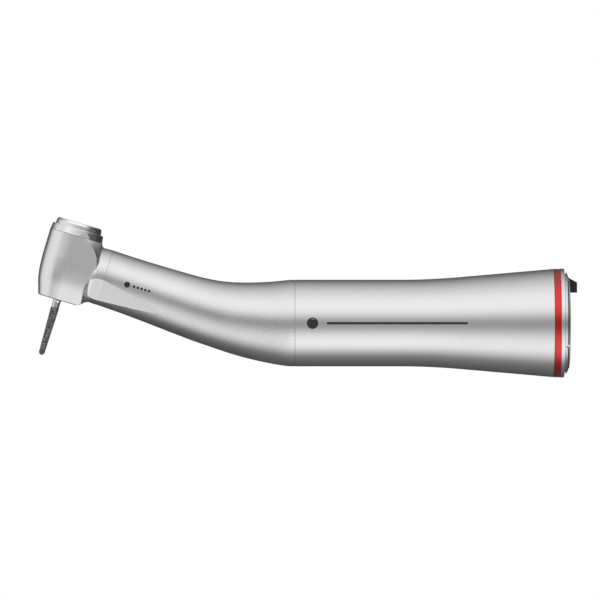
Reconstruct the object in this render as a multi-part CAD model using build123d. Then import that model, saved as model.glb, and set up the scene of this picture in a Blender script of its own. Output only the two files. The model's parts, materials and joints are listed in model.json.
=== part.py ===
"""Dental contra-angle handpiece, speed increasing one to five, with a friction-grip diamond bur.

Millimetres. The origin is the centre of the rear coupling bore's mouth. +X runs out of the bore, towards
the motor, +Z is up, away from the working end, and the handpiece is straight along X up to the bend.
The head frame is a second frame, turned about Y by BEND_ANGLE: its x runs back along the neck shaft,
its z up the bur's axis, and its origin is where those two axes cross.

Drive: input shaft with an internal ring gear, neck shaft with a pinion and a bevel gear, rotor with a bevel
pinion that carries the chuck and the bur. All gears are spherical-involute bevel gears.
"""

from build123d import *
from math import acos, asin, atan, cos, degrees, hypot, pi, radians, sin, sqrt, tan
import os

# ---------------------------------------------------------------- driving dimensions
# overall
BEND_X = -57.35            # where the handle axis and the neck shaft's axis cross
BEND_ANGLE = 16.5         # between those axes, degrees
NECK_LENGTH = 36.8        # from that crossing to the head's axis
SEAM_X = -50.55            # joint between the front and the rear sleeve

# head
HEAD_RADIUS = 5.0
HEAD_BOTTOM = -6.4
HEAD_SEAM = 5.87          # top of the housing, where the cap starts
HEAD_FOOT_RADIUS = 3.72   # at the bottom face
HEAD_CURVE_TOP = 1.5      # height where the side turns straight
HEAD_CURVE = ((4.89, -1.05), (4.60, -3.27), (4.13, -4.93))  # radius and height of the side below that
CHEEK_EDGE = ((1.96, 5.83), (4.0, 4.35), (5.1, 2.6), (5.4, 0.9), (4.75, -1.1), (4.05, -2.6), (3.8, -4.6), (2.0, -6.5))
CHEEK_REACH = 5.5         # beyond the cheeks' edge, which is seen from the side
CHEEK_SPREAD = 1.84       # how much wider the back of each cheek gets towards the middle
CHIN_CURVE = ((3.42, HEAD_BOTTOM), (4.35, -5.95), (4.9, -5.5), (5.5, -5.27))
CHIN_SHIFT = 1.2          # the chin under the neck, behind the barrel
STUB_RADIUS = 5.25        # neck end of the housing
STUB_START = 5.0
STUB_END = 7.4            # joint between the housing and the front sleeve
STUB_FILLET = 0.75        # where the neck end runs up to the barrel
FACET_START = 3.0         # flats along the neck's lower sides
FACET_DISTANCE = 4.74     # from the neck's axis to each flat
FACET_TURN = 31.0         # below the horizontal
FACET_SLOPE = 5.1         # how fast the flats run out on the front sleeve, degrees
FACET_TOP = 2.35          # a flat's upper edge, from its middle
SEAM_CHAMFER = 0.09       # broken edges that show each joint as a fine line

# cap and push button
CAP_TOP = 7.2
CAP_TOP_RADIUS = 4.82
CAP_FLAT_DISTANCE = 4.85  # six spanner flats
CAP_FLAT_TURN = 20.0
CAP_THREAD_RADIUS = 4.3
CAP_SKIRT_BOTTOM = 4.75
CAP_WEB = 0.25
CAP_WALL = 0.28
CAP_LIP = 0.2
BUTTON_TOP = 8.36
BUTTON_RADIUS = 4.35
BUTTON_TOP_RADIUS = 4.05
BUTTON_SKIN = 0.4
BUTTON_FLANGE = 0.2
BUTTON_TRAVEL = 0.7
PLUNGER_RADIUS = 0.75
PLUNGER_GAP = 0.36        # free play before the plunger meets the wedge
WEDGE_TRAVEL = 0.36
SPRING_WIRE = 0.15
SPRING_RADIUS = 3.0
SPRING_TURNS = 2.5

# bearings, all of one bore and outside size
BEARING_BORE = 1.5875
BEARING_OUTSIDE = 3.175
BEARING_WIDTH = 2.38      # on the two shafts
HEAD_BEARING_WIDTH = 1.9  # on the rotor
BALL_RADIUS = 0.5
BALL_COUNT = 7
RACE_WALL = 0.42
BALL_PLAY = 0.03
CAGE_WALL = 0.4
CAGE_WIDTH = 1.4

# gears
PRESSURE_ANGLE = 25.0
BACKLASH_SHARE = 0.08     # of each tooth's width
ADDENDUM_SHARE = 0.8      # of the module
ROOT_SHARE = 1.0          # of the module
RING_TEETH = 36
NECK_PINION_TEETH = 12
REAR_MODULE = 0.25
REAR_FACE = 1.9
NECK_GEAR_TEETH = 20
ROTOR_TEETH = 12
HEAD_MODULE = 0.35
HEAD_FACE = 0.8
FLANK_STEPS = 3

# rotor
LOWER_BEARING_BOTTOM = -5.8
UPPER_BEARING_BOTTOM = 3.75
SPINDLE_BOTTOM = -6.25
SPINDLE_TOP = 5.6
SPINDLE_WAIST = 1.3       # beside the neck gear, on its free side
SPINDLE_BELLY = 1.7
CHAMBER_RADIUS = 1.12
CHAMBER_BOTTOM = -2.3
HEAD_HOLE = 1.75

# chuck and bur
SHANK_RADIUS = 0.8
GRIP_PLAY = 0.015
COLLET_TOP = 4.85
COLLET_SLOT = 0.2
BUR_TOP = 4.2
BUR_NECK_RADIUS = 0.71
BUR_NECK_TOP = -6.6
DIAMOND_TOP = -7.9
DIAMOND_TIP = -17.0
DIAMOND_TOP_RADIUS = 0.8
DIAMOND_TIP_RADIUS = 0.55
GRIT_WALL = 0.14

# neck shaft
NECK_SHAFT_RADIUS = 1.4
NECK_FRONT_BEARING = 3.7  # start of each bearing, along the neck
NECK_REAR_BEARING = 40.8
GEAR_SEAT_RADIUS = 0.8
PINION_HUB_START = 44.9
CARRIER_LENGTH = 5.3
CARRIER_WALL = 0.375

# handle and sleeves
SLEEVE_RADIUS = 8.0
SLEEVE_ANGLE = 18.75      # slope of the front sleeve's outside, degrees
SLEEVE_BORE = 7.15
FRONT_BORE = 6.75
FRONT_WALL = 0.45
REAR_WALL = 0.8
SLEEVE_STATIONS = ((0.15, 5.31), (0.28, 5.47), (0.41, 5.68), (0.54, 5.98), (0.67, 6.5), (0.79, 7.12), (0.91, 7.72))
RING_RADIUS = 10.0
RING_FRONT = -2.9
RING_BACK = -1.7
END_RING_RADIUS = 10.05
END_RING_BACK = -0.95
NUT_RADIUS = 9.35
NUT_GROOVE = 0.3          # narrow neck of the nut, beside the end ring
NUT_GROOVE_RADIUS = 9.0
NUT_BEVEL = (0.3, 0.6)    # along and across, on the back edge
NUT_BACK = -0.2
NUT_SLOTS = 4
NUT_SLOT_TURN = 27.8
NUT_SLOT = 0.6
NUT_SLOT_DEPTH = 0.55
RING_GROOVE = 0.14        # between the sleeve's edge and the coloured ring
FLARE_ANGLE = 5.0
FLARE_BLEND = 5.5         # tangent length of the flare's curve
TAIL_BORE = 8.45
TAIL_FRONT = -13.5
MOUTH_CHAMFER = 0.12

# coupling
COUPLING_RADIUS = 5.5
COUPLING_DEPTH = 17.0
LATCH_GROOVE = 6.0
LATCH_WIDTH = 1.2
NOSE_RADIUS = 4.4
COUPLING_FRONT = -24.5
PORT_X = -12.5
PORT_RADIUS = 0.25

# index key
KEY_WIDTH = 2.6
KEY_LOW = 5.62
KEY_HIGH = 8.3
KEY_DEPTH = 2.8
KEY_PROUD = 1.45
KEY_FALL = 0.8            # of its slanted top

# input drive
CHASSIS_FRONT = -54.55
CHASSIS_CAVITY_FRONT = -49.95
CHASSIS_BACK = -45.05
CUP_RADIUS = 5.3
CUP_FRONT = -49.4
CUP_BACK = -45.15
CUP_FLOOR = 1.0
INPUT_FRONT_BEARING = -44.85
INPUT_REAR_BEARING = -33.75
INPUT_HOUSING_BACK = -30.15
INPUT_FLANGE_BACK = -39.75
INPUT_HOUSING_RADIUS = 4.6
DOG_FRONT = -26.95
DOG_BACK = -21.35
DOG_RADIUS = 2.5
DOG_SLOT = 1.2
DOG_SLOT_DEPTH = 2.4
DOG_PIN_RADIUS = 0.35

# lines inside
LINE_RADIUS = 0.35        # water and air tubes, outside
LINE_BORE = 0.2
LINE_OFFSET = 5.95        # from the handle's axis
LINE_HEAD_OFFSET = 4.3    # from the neck's axis
LINE_EASE = 2.4           # run given to each side of a bend
GUIDE_RADIUS = 0.45       # glass light guide
GUIDE_OFFSET = 6.2
GUIDE_HEAD_OFFSET = 4.25
WINDOW_RADIUS = 0.62

# clearances
TURN_CLEARANCE = 0.1      # between a turning piece and what surrounds it
SLIDE_CLEARANCE = 0.05    # between a sliding piece and its guide


# ---------------------------------------------------------------- frames and shapes
BEND = radians(BEND_ANGLE)
HEAD = Location((BEND_X - NECK_LENGTH * cos(BEND), 0, NECK_LENGTH * sin(BEND)), (0, BEND_ANGLE, 0))
HANDLE = Location((0, 0, 0))


def in_head(x, y, z):
    """A head-frame point, in the handpiece's frame."""
    return (HEAD * Location((x, y, z))).position


def turned(points, axis=Axis.X):
    """Solid of revolution. Each corner is (place along the axis, radius)."""
    if axis == Axis.X:
        corners = [Vector(place, 0, radius) for place, radius in points]
    else:
        corners = [Vector(radius, 0, place) for place, radius in points]
    return revolve(Face(Wire.make_polygon(corners, close=True)), axis)


def tube(start, end, outside, inside=0.0, axis=Axis.X):
    """Plain ring or, with no inside radius, plain cylinder."""
    return turned([(start, inside), (start, outside), (end, outside), (end, inside)], axis)


def rod(start, end, radius):
    """Cylinder from one point to another."""
    start, end = Vector(*start), Vector(*end)
    return Plane(origin=start, z_dir=end - start) * Cylinder(
        radius, (end - start).length, align=(Align.CENTER, Align.CENTER, Align.MIN)
    )


def block(low, high):
    """Box between two corners."""
    size = [b - a for a, b in zip(low, high)]
    return Pos(*low) * Box(*size, align=(Align.MIN, Align.MIN, Align.MIN))


def bent_rod(points, radii, radius):
    """Round rod along straight runs joined by tangent arcs."""
    path = FilletPolyline(*points, radius=radii)
    section = Plane(origin=path @ 0, z_dir=path % 0) * Circle(radius)
    return sweep(section, path=path)


def arc_radii(points):
    """Fillet radii that start each corner's arc one LINE_EASE before the corner."""
    radii = []
    for before, corner, after in zip(points, points[1:], points[2:]):
        back, on = Vector(*before) - Vector(*corner), Vector(*after) - Vector(*corner)
        turn = radians(180 - back.get_angle(on))
        radii.append(LINE_EASE / tan(turn / 2))
    return radii


def solids_of(shape):
    """The solids of a shape or of a list of shapes, as one group."""
    shapes = shape if isinstance(shape, (list, tuple)) else [shape]
    return Compound([solid for item in shapes for solid in item.solids()])


def save(name, shape, frame=HANDLE):
    """Writes one node, placed in the handpiece's frame."""
    group = frame * solids_of(shape)
    export_step(group, os.path.join("parts", name + ".step"))


# ---------------------------------------------------------------- bevel gears
def pitch_cones(shaft_angle, driver_teeth, driven_teeth, internal):
    """Pitch cone half-angles of the driver and the driven gear, whose axes meet at shaft_angle."""
    ratio = driver_teeth / driven_teeth
    side = -1 if internal else 1
    driven = atan(sin(shaft_angle) / (ratio + side * cos(shaft_angle)))
    driver = shaft_angle + driven if internal else shaft_angle - driven
    return driver, driven


def involute_turn(cone, base):
    """How far a spherical involute has turned about the gear's axis, at a cone half-angle."""
    if cone <= base:
        return 0.0
    return acos(cos(cone) / cos(base)) / sin(base) - acos(tan(base) / tan(cone))


def toothed_cone(teeth, pitch, root, tip, low, high, phase=0.0, share=1 - BACKLASH_SHARE):
    """Cone about X with its apex at the origin and its teeth along the cone, from X = low to high."""
    base = asin(sin(pitch) * cos(radians(PRESSURE_ANGLE)))
    half_tooth = share * pi / (2 * teeth)
    start = max(root, base)
    flank = [root] if root < base else []
    flank += [start + (tip - start) * step / FLANK_STEPS for step in range(FLANK_STEPS + 1)]
    side = [(cone, half_tooth + involute_turn(pitch, base) - involute_turn(cone, base)) for cone in flank]
    tooth = [(cone, -turn) for cone, turn in side] + [(cone, turn) for cone, turn in reversed(side)]
    wires = []
    for height in (low, high):
        corners = []
        for number in range(teeth):
            middle = phase + 2 * pi * number / teeth
            for cone, turn in tooth:
                radius = height * tan(cone)
                corners.append(Vector(height, radius * sin(middle + turn), radius * cos(middle + turn)))
        wires.append(Wire.make_polygon(corners, close=True))
    return Solid.make_loft(wires, ruled=True)


class BevelPair:
    """Sizes shared by two meshing bevel gears with one apex. The driver has the larger pitch cone."""

    def __init__(self, module, driver_teeth, driven_teeth, shaft_angle, face, internal=False):
        self.driver, self.driven = pitch_cones(shaft_angle, driver_teeth, driven_teeth, internal)
        self.reach = module * driver_teeth / 2 / sin(self.driver)
        self.toe = self.reach - face
        self.addendum = atan(ADDENDUM_SHARE * module / self.reach)
        self.dedendum = atan(ROOT_SHARE * module / self.reach)

    def at(self, distance, cone):
        """Place along the axis and radius, at a distance from the apex on a cone."""
        return distance * cos(cone), distance * sin(cone)

    def blank(self, pitch, hub):
        """Outside form of one gear: its face between toe and heel, closed by the hub's corners."""
        tip = pitch + self.addendum
        root = pitch - 1.6 * self.dedendum
        return turned([self.at(self.toe, tip), self.at(self.reach, tip), self.at(self.reach, root), *hub])


REAR_PAIR = BevelPair(REAR_MODULE, RING_TEETH, NECK_PINION_TEETH, BEND, REAR_FACE, internal=True)
HEAD_PAIR = BevelPair(HEAD_MODULE, NECK_GEAR_TEETH, ROTOR_TEETH, pi / 2, HEAD_FACE)


# ---------------------------------------------------------------- bearings
def bearing(name, start, width, frame, axis):
    """Deep-groove ball bearing as three nodes: outer ring, inner ring, and balls in their cage."""
    pitch = (BEARING_BORE + BEARING_OUTSIDE) / 2
    middle = start + width / 2
    turn = Rotation(0, 90, 0) if axis == Axis.X else Rotation(0, 0, 0)
    centre = Pos(middle, 0, 0) if axis == Axis.X else Pos(0, 0, middle)
    groove = centre * turn * Torus(pitch, BALL_RADIUS + BALL_PLAY)
    outer = tube(start, start + width, BEARING_OUTSIDE, BEARING_OUTSIDE - RACE_WALL, axis) - groove
    inner = tube(start, start + width, BEARING_BORE + RACE_WALL, BEARING_BORE, axis) - groove
    half_cage = CAGE_WIDTH / 2
    half_wall = CAGE_WALL / 2
    cage = tube(middle - half_cage, middle + half_cage, pitch + half_wall, pitch - half_wall, axis)
    places = [
        centre * turn * Rotation(0, 0, 360 * n / BALL_COUNT) * Pos(pitch, 0, 0) for n in range(BALL_COUNT)
    ]
    for place in places:
        cage -= place * Rotation(0, 90, 0) * Cylinder(BALL_RADIUS + BALL_PLAY, 3 * CAGE_WALL)
    save(name + "_outer_ring", outer, frame)
    save(name + "_inner_ring", inner, frame)
    save(name + "_balls", [cage] + [place * Sphere(BALL_RADIUS) for place in places], frame)


# ---------------------------------------------------------------- head
def barrel_face():
    """Half section of the head's barrel, in the head's XZ plane."""
    foot_start = (HEAD_FOOT_RADIUS, 0, HEAD_BOTTOM + 0.15)
    side = Line((HEAD_RADIUS, 0, HEAD_SEAM), (HEAD_RADIUS, 0, HEAD_CURVE_TOP))
    curve = Spline(
        (HEAD_RADIUS, 0, HEAD_CURVE_TOP),
        *[(radius, 0, height) for radius, height in HEAD_CURVE],
        foot_start,
        tangents=((0, 0, -1), (-0.33, 0, -1)),
    )
    foot = Polyline(
        foot_start,
        (HEAD_FOOT_RADIUS - 0.2, 0, HEAD_BOTTOM),
        (0, 0, HEAD_BOTTOM),
        (0, 0, HEAD_SEAM),
        (HEAD_RADIUS, 0, HEAD_SEAM),
    )
    return make_face([side, curve, foot])


def neck_facets(start, distance, slope=0.0):
    """Cutters for the two flats along the neck's lower sides, from a place along the neck."""
    down = radians(FACET_TURN)
    lean = radians(slope)
    normal = Vector(0, cos(down), -sin(down))
    along = Vector(1, 0, 0) * cos(lean) + normal * sin(lean)
    outward = normal * cos(lean) - Vector(1, 0, 0) * sin(lean)
    length, width = 30, FACET_TOP + 6
    middle = Pos(length / 2, width / 2 - FACET_TOP)
    outline = middle * Rectangle(length, width)
    plane = Plane(origin=Vector(start, 0, 0) + normal * distance, x_dir=along, z_dir=outward)
    cutter = extrude(plane * outline, 6)
    return cutter + mirror(cutter, Plane.XZ)


def head_form():
    """Outside of the head housing: barrel, cheeks that run flat into the neck, chin and neck stub."""
    section = barrel_face()
    barrel = revolve(section, Axis.Z)
    half_prism = extrude(Rotation(0, 0, 90) * section, CHEEK_REACH + 1, dir=(1, 0, 0))
    prism = half_prism + mirror(half_prism, Plane.XZ)
    edge = Spline(*CHEEK_EDGE)
    back = Polyline(CHEEK_EDGE[-1], (-1, -7.5), (-1, 7), CHEEK_EDGE[0])
    narrow = make_face([edge, back])
    wide = scale(narrow, CHEEK_SPREAD)
    spread = loft([Plane.XZ * wide, Plane.XZ.offset(HEAD_RADIUS) * narrow], ruled=True)
    rise = Line((STUB_START, 0, STUB_RADIUS + 5), (STUB_START, 0, STUB_RADIUS + STUB_FILLET - 0.05))
    hollow = ThreePointArc(
        (STUB_START, 0, STUB_RADIUS + STUB_FILLET - 0.05),
        (STUB_START + STUB_FILLET * (1 - cos(pi / 4)), 0, STUB_RADIUS - 0.05 + STUB_FILLET * (1 - sin(pi / 4))),
        (STUB_START + STUB_FILLET, 0, STUB_RADIUS - 0.05),
    )
    rest = Polyline((STUB_START + STUB_FILLET, 0, STUB_RADIUS - 0.05), (STUB_START + STUB_FILLET, 0, 0),
                    (0, 0, 0), (0, 0, STUB_RADIUS + 5), (STUB_START, 0, STUB_RADIUS + 5))
    flare = revolve(make_face([rise, hollow, rest]), Axis.X)
    cheeks = prism & (spread + mirror(spread, Plane.XZ)) & flare
    chin_curve = Spline(*[(place, 0, height) for place, height in CHIN_CURVE])
    chin_rest = Polyline((CHIN_CURVE[-1][0], 0, CHIN_CURVE[-1][1]), (9, 0, CHIN_CURVE[-1][1]), (9, 0, 8), (-1, 0, 8),
                         (-1, 0, HEAD_BOTTOM), (CHIN_CURVE[0][0], 0, HEAD_BOTTOM))
    above_chin = extrude(make_face([chin_curve, chin_rest]), 2 * HEAD_RADIUS, both=True, dir=(0, 1, 0))
    cheeks &= above_chin
    chin = above_chin & (Pos(CHIN_SHIFT, 0, 0) * barrel) & tube(0, 5.8, 9) & block((0, -9, -9), (9, 9, 0))
    neck = turned([(0, 0), (0, 4.5), (4.2, 4.5), (STUB_START, STUB_RADIUS - 0.25),
                   (STUB_START + STUB_FILLET, STUB_RADIUS - 0.05), (6.6, STUB_RADIUS),
                   (STUB_END - SEAM_CHAMFER, STUB_RADIUS), (STUB_END, STUB_RADIUS - SEAM_CHAMFER), (STUB_END, 0)])
    neck -= neck_facets(FACET_START, FACET_DISTANCE)
    return barrel + cheeks + chin + neck


def head_housing(form, window):
    """Head casting: rotor bore, neck bore, cap thread and the ends of the three lines."""
    neck_bore = HEAD_MODULE * NECK_GEAR_TEETH / 2 + 0.25
    body = form - tube(LOWER_BEARING_BOTTOM, HEAD_SEAM, BEARING_OUTSIDE, axis=Axis.Z)
    body -= tube(CAP_SKIRT_BOTTOM - 0.05, HEAD_SEAM, CAP_THREAD_RADIUS, axis=Axis.Z)
    body -= tube(HEAD_BOTTOM, LOWER_BEARING_BOTTOM, HEAD_HOLE, axis=Axis.Z)
    body -= tube(1.0, STUB_END, neck_bore)
    body -= spray_plate(solid=True)
    body -= line_holes(STUB_END - 2.0, STUB_END)
    body -= window
    return body


def line_holes(start, end):
    """Passages for the two tubes and the light guide, in the head frame."""
    holes = [rod((start, side * LINE_HEAD_OFFSET, 0), (end, side * LINE_HEAD_OFFSET, 0), LINE_RADIUS)
             for side in (-1, 1)]
    guide = rod((start + 0.6, 0, -GUIDE_HEAD_OFFSET), (end, 0, -GUIDE_HEAD_OFFSET), GUIDE_RADIUS)
    return holes[0] + holes[1] + guide


def spray_plate(solid=False):
    """Ring under the head with four spray holes round the bur."""
    plate = tube(HEAD_BOTTOM, HEAD_BOTTOM + 0.3, 3.0, HEAD_HOLE, Axis.Z)
    if solid:
        return plate
    for number in range(4):
        place = Rotation(0, 0, 45 + 90 * number) * Pos(2.4, 0, HEAD_BOTTOM)
        plate -= place * Cylinder(0.18, 2)
    return plate


def light_window(form):
    """Glass exit of the light guide, aimed from under the neck at the bur's tip."""
    start = Vector(STUB_END - 1.2, 0, -GUIDE_HEAD_OFFSET)
    aim = Vector(0, 0, DIAMOND_TIP) - start
    return rod(start, start + aim.normalized() * 3.0, WINDOW_RADIUS) & form


def head_cap():
    """Screw cap: thread skirt round the upper bearing, web, rim with six flats, lip over the button."""
    web_top = CAP_TOP - CAP_LIP - BUTTON_FLANGE - 0.05 - BUTTON_TRAVEL
    cavity = CAP_TOP_RADIUS - CAP_WALL
    lip = BUTTON_RADIUS + SLIDE_CLEARANCE
    cap = turned(
        [
            (CAP_SKIRT_BOTTOM, BEARING_OUTSIDE),
            (CAP_SKIRT_BOTTOM, CAP_THREAD_RADIUS),
            (HEAD_SEAM, CAP_THREAD_RADIUS),
            (HEAD_SEAM, HEAD_RADIUS - SEAM_CHAMFER),
            (HEAD_SEAM + SEAM_CHAMFER, HEAD_RADIUS - 0.02),
            (CAP_TOP - 0.1, CAP_TOP_RADIUS),
            (CAP_TOP, CAP_TOP_RADIUS - 0.08),
            (CAP_TOP, lip),
            (CAP_TOP - CAP_LIP, lip),
            (CAP_TOP - CAP_LIP, cavity),
            (web_top, cavity),
            (web_top, PLUNGER_RADIUS + TURN_CLEARANCE),
            (web_top - CAP_WEB, PLUNGER_RADIUS + TURN_CLEARANCE),
            (web_top - CAP_WEB, BEARING_OUTSIDE),
        ],
        Axis.Z,
    )
    for number in range(6):
        turn = Rotation(0, 0, CAP_FLAT_TURN - 90 + 60 * number)
        flat = block((CAP_FLAT_DISTANCE, -4, HEAD_SEAM + SEAM_CHAMFER), (HEAD_RADIUS + 1, 4, CAP_TOP - 0.15))
        cap -= turn * flat
    return cap, web_top


def push_button(web_top):
    """Dished button with its retaining flange and the plunger as a second piece."""
    flange_bottom = web_top + BUTTON_TRAVEL
    flange_top = flange_bottom + BUTTON_FLANGE
    flange_radius = CAP_TOP_RADIUS - CAP_WALL - SLIDE_CLEARANCE
    roof = BUTTON_TOP - BUTTON_SKIN
    inside = BUTTON_RADIUS - 0.35
    button = turned(
        [
            (flange_bottom, inside),
            (flange_bottom, flange_radius),
            (flange_top, flange_radius),
            (flange_top, BUTTON_RADIUS),
            (BUTTON_TOP - 0.5, BUTTON_RADIUS - 0.06),
            (BUTTON_TOP - 0.12, BUTTON_TOP_RADIUS + 0.08),
            (BUTTON_TOP, BUTTON_TOP_RADIUS - 0.08),
            (BUTTON_TOP, 3.5),
            (BUTTON_TOP - 0.08, 3.3),
            (BUTTON_TOP - 0.08, 0),
            (roof, 0),
            (roof, inside),
        ],
        Axis.Z,
    )
    plunger_bottom = wedge_top() + PLUNGER_GAP
    plunger = turned(
        [(plunger_bottom, 0), (plunger_bottom, PLUNGER_RADIUS - 0.1), (plunger_bottom + 0.1, PLUNGER_RADIUS),
         (roof - 0.3, PLUNGER_RADIUS), (roof - 0.3, 1.6), (roof, 1.6), (roof, 0)],
        Axis.Z,
    )
    return button, plunger, roof


def button_spring(web_top, roof):
    """Coil spring between the cap's web and the button."""
    height = roof - web_top - 2 * SPRING_WIRE
    path = Pos(0, 0, web_top + SPRING_WIRE) * Helix(height / SPRING_TURNS, height, SPRING_RADIUS)
    section = Plane(origin=path @ 0, z_dir=path % 0) * Circle(SPRING_WIRE - 0.01)
    return sweep(section, path=path)


# ---------------------------------------------------------------- rotor, chuck and bur
def spindle():
    """Rotor shaft with the bevel pinion cut in it, bored for the chuck and the bur."""
    lower_top = LOWER_BEARING_BOTTOM + HEAD_BEARING_WIDTH
    heel_back = HEAD_PAIR.at(HEAD_PAIR.reach, HEAD_PAIR.driven - HEAD_PAIR.dedendum)[0]
    toe_front = HEAD_PAIR.at(HEAD_PAIR.toe, HEAD_PAIR.driven + HEAD_PAIR.addendum)[0]
    shaft = turned(
        [
            (SPINDLE_BOTTOM, 0),
            (SPINDLE_BOTTOM, SPINDLE_WAIST),
            (LOWER_BEARING_BOTTOM, SPINDLE_WAIST),
            (LOWER_BEARING_BOTTOM, BEARING_BORE),
            (lower_top, BEARING_BORE),
            (lower_top, BEARING_BORE + 0.3),
            (lower_top + 0.12, BEARING_BORE + 0.3),
            (lower_top + 0.12, SPINDLE_WAIST),
            (-2.65, SPINDLE_WAIST),
            (-2.4, SPINDLE_BELLY),
            (1.9, SPINDLE_BELLY),
            (2.2, SPINDLE_WAIST),
            (toe_front + 0.3, SPINDLE_WAIST),
            (heel_back, BEARING_BORE),
            (SPINDLE_TOP, BEARING_BORE),
            (SPINDLE_TOP, 0),
        ],
        Axis.Z,
    )
    cone = toothed_cone(
        ROTOR_TEETH, HEAD_PAIR.driven, HEAD_PAIR.driven - HEAD_PAIR.dedendum,
        HEAD_PAIR.driven + HEAD_PAIR.addendum, 1.5, 4.5, phase=pi / ROTOR_TEETH,
    )
    heel_root = HEAD_PAIR.at(HEAD_PAIR.reach, HEAD_PAIR.driven - 1.6 * HEAD_PAIR.dedendum)
    pinion = HEAD_PAIR.blank(HEAD_PAIR.driven, [(heel_root[0], 0), (toe_front, 0)]) & cone
    shaft += Rotation(0, -90, 0) * pinion
    shaft -= tube(SPINDLE_BOTTOM, CHAMBER_BOTTOM, SHANK_RADIUS + GRIP_PLAY + 0.005, axis=Axis.Z)
    return shaft - tube(CHAMBER_BOTTOM, SPINDLE_TOP, CHAMBER_RADIUS, axis=Axis.Z)


def collet():
    """Chuck with three spring fingers round the shank, coned inside at the top for the wedge."""
    bore = SHANK_RADIUS + GRIP_PLAY
    body = turned(
        [(CHAMBER_BOTTOM, bore), (CHAMBER_BOTTOM, CHAMBER_RADIUS), (0, CHAMBER_RADIUS),
         (0.2, CHAMBER_RADIUS - 0.04), (COLLET_TOP, CHAMBER_RADIUS - 0.04), (COLLET_TOP, 1.05),
         (COLLET_TOP - 0.55, bore)],
        Axis.Z,
    )
    for number in range(3):
        slot = block((0, -COLLET_SLOT / 2, 0), (CHAMBER_RADIUS + 1, COLLET_SLOT / 2, COLLET_TOP + 1))
        body -= Rotation(0, 0, 120 * number) * slot
    return body


def wedge_top():
    """Height of the wedge's push face at rest."""
    return SPINDLE_TOP + 0.02


def wedge():
    """Cone that spreads the chuck's fingers when the button is pressed."""
    top = wedge_top()
    return turned(
        [(COLLET_TOP - 0.23, 0), (COLLET_TOP - 0.23, 0.72), (COLLET_TOP + 0.15, 0.92), (COLLET_TOP + 0.4, 0.92),
         (COLLET_TOP + 0.4, CHAMBER_RADIUS - 0.04), (COLLET_TOP + 0.55, CHAMBER_RADIUS - 0.04),
         (COLLET_TOP + 0.55, 0.8), (top, 0.8), (top, 0)],
        Axis.Z,
    )


def wedge_spring():
    """Small cupped washer that lifts the wedge."""
    low = COLLET_TOP + 0.02
    high = COLLET_TOP + 0.38
    return turned([(low, 1.02), (low, 1.08), (high - 0.02, 1.0), (high - 0.02, 0.95)], Axis.Z)


def wedge_ring():
    """Snap ring over the wedge's shoulder, in the spindle's mouth."""
    return tube(COLLET_TOP + 0.57, SPINDLE_TOP - 0.02, CHAMBER_RADIUS, 0.86, Axis.Z)


def bur():
    """Friction-grip bur: steel shank with a core, and the diamond-coated working end on that core."""
    tip_core = DIAMOND_TIP + DIAMOND_TIP_RADIUS + 0.2
    shank = turned(
        [
            (BUR_TOP, 0),
            (BUR_TOP, SHANK_RADIUS - 0.12),
            (BUR_TOP - 0.12, SHANK_RADIUS),
            (BUR_NECK_TOP, SHANK_RADIUS),
            (BUR_NECK_TOP - 0.25, BUR_NECK_RADIUS),
            (DIAMOND_TOP, BUR_NECK_RADIUS),
            (DIAMOND_TOP, DIAMOND_TOP_RADIUS - GRIT_WALL),
            (tip_core, DIAMOND_TIP_RADIUS - GRIT_WALL),
            (tip_core, 0),
        ],
        Axis.Z,
    )
    round_centre = DIAMOND_TIP + DIAMOND_TIP_RADIUS
    outline = [
        Line((0, 0, DIAMOND_TOP), (DIAMOND_TOP_RADIUS - 0.08, 0, DIAMOND_TOP)),
        Line((DIAMOND_TOP_RADIUS - 0.08, 0, DIAMOND_TOP), (DIAMOND_TOP_RADIUS, 0, DIAMOND_TOP - 0.1)),
        Line((DIAMOND_TOP_RADIUS, 0, DIAMOND_TOP - 0.1), (DIAMOND_TIP_RADIUS, 0, round_centre)),
        ThreePointArc(
            (DIAMOND_TIP_RADIUS, 0, round_centre),
            (DIAMOND_TIP_RADIUS * sin(pi / 4), 0, round_centre - DIAMOND_TIP_RADIUS * cos(pi / 4)),
            (0, 0, DIAMOND_TIP),
        ),
        Line((0, 0, DIAMOND_TIP), (0, 0, DIAMOND_TOP)),
    ]
    diamond = revolve(make_face(outline), Axis.Z) - shank
    return shank, diamond


# ---------------------------------------------------------------- neck shaft
def neck_shaft():
    """Stepped shaft that carries a bevel gear at the head and a pinion at the bend."""
    front_end = NECK_FRONT_BEARING + BEARING_WIDTH
    rear_end = NECK_REAR_BEARING + BEARING_WIDTH
    pinion_end = NECK_LENGTH + REAR_PAIR.at(REAR_PAIR.reach, REAR_PAIR.driven)[0] + 0.1
    return turned(
        [
            (2.2, 0),
            (2.2, GEAR_SEAT_RADIUS),
            (NECK_FRONT_BEARING, GEAR_SEAT_RADIUS),
            (NECK_FRONT_BEARING, BEARING_BORE),
            (front_end + 0.2, BEARING_BORE),
            (front_end + 0.4, NECK_SHAFT_RADIUS),
            (NECK_REAR_BEARING - 0.4, NECK_SHAFT_RADIUS),
            (NECK_REAR_BEARING - 0.2, BEARING_BORE),
            (rear_end, BEARING_BORE),
            (rear_end, 1.2),
            (PINION_HUB_START, 1.2),
            (PINION_HUB_START, GEAR_SEAT_RADIUS),
            (pinion_end, GEAR_SEAT_RADIUS),
            (pinion_end, 0),
        ]
    )


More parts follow.
